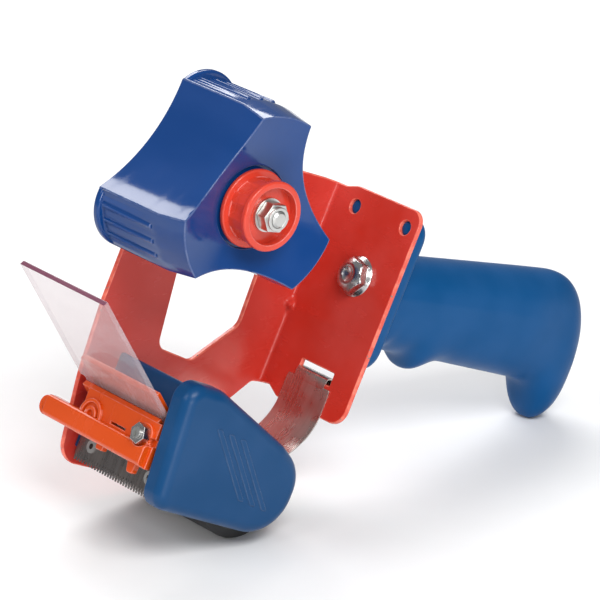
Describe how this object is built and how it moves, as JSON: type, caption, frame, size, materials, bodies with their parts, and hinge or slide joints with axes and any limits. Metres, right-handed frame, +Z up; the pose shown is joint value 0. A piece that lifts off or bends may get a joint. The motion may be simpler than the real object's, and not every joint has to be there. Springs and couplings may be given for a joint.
{
  "type": "hand-held packing tape dispenser",
  "caption": "Hand-held packing tape dispenser: three-lobed reel with brake knob on a bent steel side plate, rubber roller, toothed blade, hinged clear flap and a pistol grip.",
  "frame": {"origin": "middle of the base of the bounding box, on the floor the tool stands on", "axes": "+X from the cutter towards the butt of the grip, +Y from the cheek towards the steel side plate, parallel to the reel's and roller's axes, +Z up, with the tool standing on its roller and the heel of its grip"},
  "size_m": [0.2508, 0.0754, 0.1631],
  "materials": {
    "red_paint": "gloss red powder coat",
    "zinc_steel": "zinc plated",
    "spring_steel": "tempered strip, satin",
    "blade_steel": "hardened, ground teeth",
    "chrome": "bright plated",
    "fibre": "pressed fibre",
    "reel_plastic": "gloss moulded",
    "knob_plastic": "gloss moulded",
    "roller_plastic": "moulded",
    "rubber": "ground rubber",
    "cover_plastic": "satin moulded",
    "guide_plastic": "satin moulded",
    "clear_plastic": "clear flexible sheet",
    "handle_plastic": "fine satin texture"
  },
  "bodies": {
    "tool": {"frame": "red_paint", "spindle": "zinc_steel", "friction_washer": "fibre", "pressure_washer": "zinc_steel", "brake_spring": "spring_steel", "roller_axle": "zinc_steel", "roller_spacers": "roller_plastic", "cover": "cover_plastic", "cover_screws": "zinc_steel", "blade": "blade_steel", "blade_rivets": "zinc_steel", "guide_pivot": "zinc_steel", "guide_spring": "spring_steel", "handle": "handle_plastic", "handle_bolt": "chrome", "handle_nut": "zinc_steel"},
    "reel": {"reel": "reel_plastic"},
    "brake_carrier": {"thrust_washer": "zinc_steel"},
    "brake_knob": {"knob": "knob_plastic", "knob_washer": "zinc_steel", "lock_nut": "zinc_steel"},
    "roller": {"roller_core": "roller_plastic", "roller_sleeve": "rubber"},
    "tape_guide": {"guide": "guide_plastic", "stop_screw": "zinc_steel", "stop_nut": "chrome", "flap": "clear_plastic"},
    "leaf": {"leaf_spring": "spring_steel"}
  },
  "joints": [
    {"name": "reel_spin", "type": "hinge", "parent": "tool", "child": "reel", "pos_m": [-0.05509, -0.0004, 0.12367], "axis": [0, 1, 0], "continuous": true},
    {"name": "roller_spin", "type": "hinge", "parent": "tool", "child": "roller", "pos_m": [-0.06128, -0.0004, 0.018], "axis": [0, 1, 0], "continuous": true},
    {"name": "brake_slide", "type": "slide", "parent": "tool", "child": "brake_carrier", "axis": [0, 1, 0], "range_m": [-0.001, 0.001], "deforming": ["brake_spring"]},
    {"name": "knob_turn", "type": "hinge", "parent": "brake_carrier", "child": "brake_knob", "pos_m": [-0.05509, -0.0204, 0.12367], "axis": [0, 1, 0], "range_deg": [-360, 360]},
    {"name": "guide_swing", "type": "hinge", "parent": "tool", "child": "tape_guide", "pos_m": [-0.09633, -0.0004, 0.04252], "axis": [0, -1, 0], "range_deg": [0, 15], "stiffness_Nm_per_rad": 0.25, "springref_deg": -8.59, "deforming": ["guide_spring"]},
    {"name": "leaf_flex", "type": "hinge", "parent": "tool", "child": "leaf", "pos_m": [-0.01355, 0.0016, 0.03065], "axis": [0, -1, 0], "range_deg": [0, 6], "stiffness_Nm_per_rad": 0.8, "springref_deg": -1.15, "deforming": ["leaf_spring"]}
  ],
  "couplings": [
    {"joint": "knob_turn", "follows": "brake_slide", "rad_per_m": 6283.2}
  ]
}
